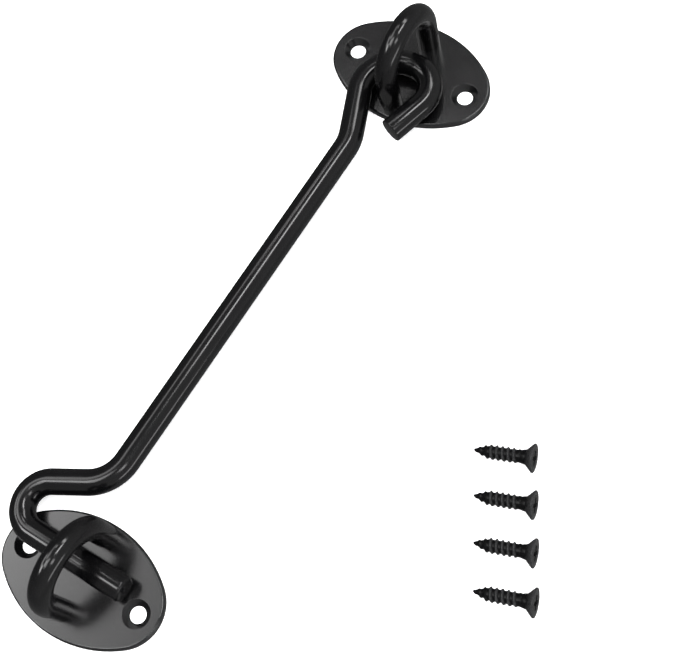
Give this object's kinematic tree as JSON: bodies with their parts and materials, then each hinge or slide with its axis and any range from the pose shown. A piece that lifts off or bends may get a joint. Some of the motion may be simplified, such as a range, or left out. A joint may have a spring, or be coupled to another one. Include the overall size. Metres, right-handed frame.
{
  "type": "hook and eye latch",
  "caption": "Black hook and eye latch: a bent round rod turns on a staple riveted to an oval plate and hooks into a second staple on its own plate, with loose countersunk screws.",
  "frame": {"origin": "middle of the pivot plate's back face, which is also its mounting face", "axes": "+X from the pivot plate to the catch plate, +Y along the plates' long axes, +Z out of the mounting face; the latch lies on its back"},
  "size_m": [0.2031, 0.1344, 0.0265],
  "materials": {
    "plate": "satin black baked coating on pressed steel",
    "rod": "semi-gloss black coating on round steel rod",
    "screw": "black oxide on steel"
  },
  "bodies": {
    "pivot_eye": {"pivot_plate": "plate", "pivot_staple": "rod"},
    "hook": {"hook_rod": "rod"},
    "catch_eye": {"catch_plate": "plate", "catch_staple": "rod"},
    "loose_screw_1": {"screw_1": "screw"},
    "loose_screw_2": {"screw_2": "screw"},
    "loose_screw_3": {"screw_3": "screw"},
    "loose_screw_4": {"screw_4": "screw"}
  },
  "joints": [
    {"name": "hook_swing", "type": "hinge", "parent": "pivot_eye", "child": "hook", "pos_m": [0.011, 0, 0.0059], "axis": [0, 0, -1], "range_deg": [-5, 150]},
    {"name": "catch_release", "type": "slide", "parent": "pivot_eye", "child": "catch_eye", "axis": [0, 1, 0], "range_m": [0, 0.045]},
    {"name": "screw_1_lift", "type": "slide", "parent": "pivot_eye", "child": "loose_screw_1", "axis": [0, 0, 1], "range_m": [0, 0.03]},
    {"name": "screw_2_lift", "type": "slide", "parent": "pivot_eye", "child": "loose_screw_2", "axis": [0, 0, 1], "range_m": [0, 0.03]},
    {"name": "screw_3_lift", "type": "slide", "parent": "pivot_eye", "child": "loose_screw_3", "axis": [0, 0, 1], "range_m": [0, 0.03]},
    {"name": "screw_4_lift", "type": "slide", "parent": "pivot_eye", "child": "loose_screw_4", "axis": [0, 0, 1], "range_m": [0, 0.03]}
  ]
}
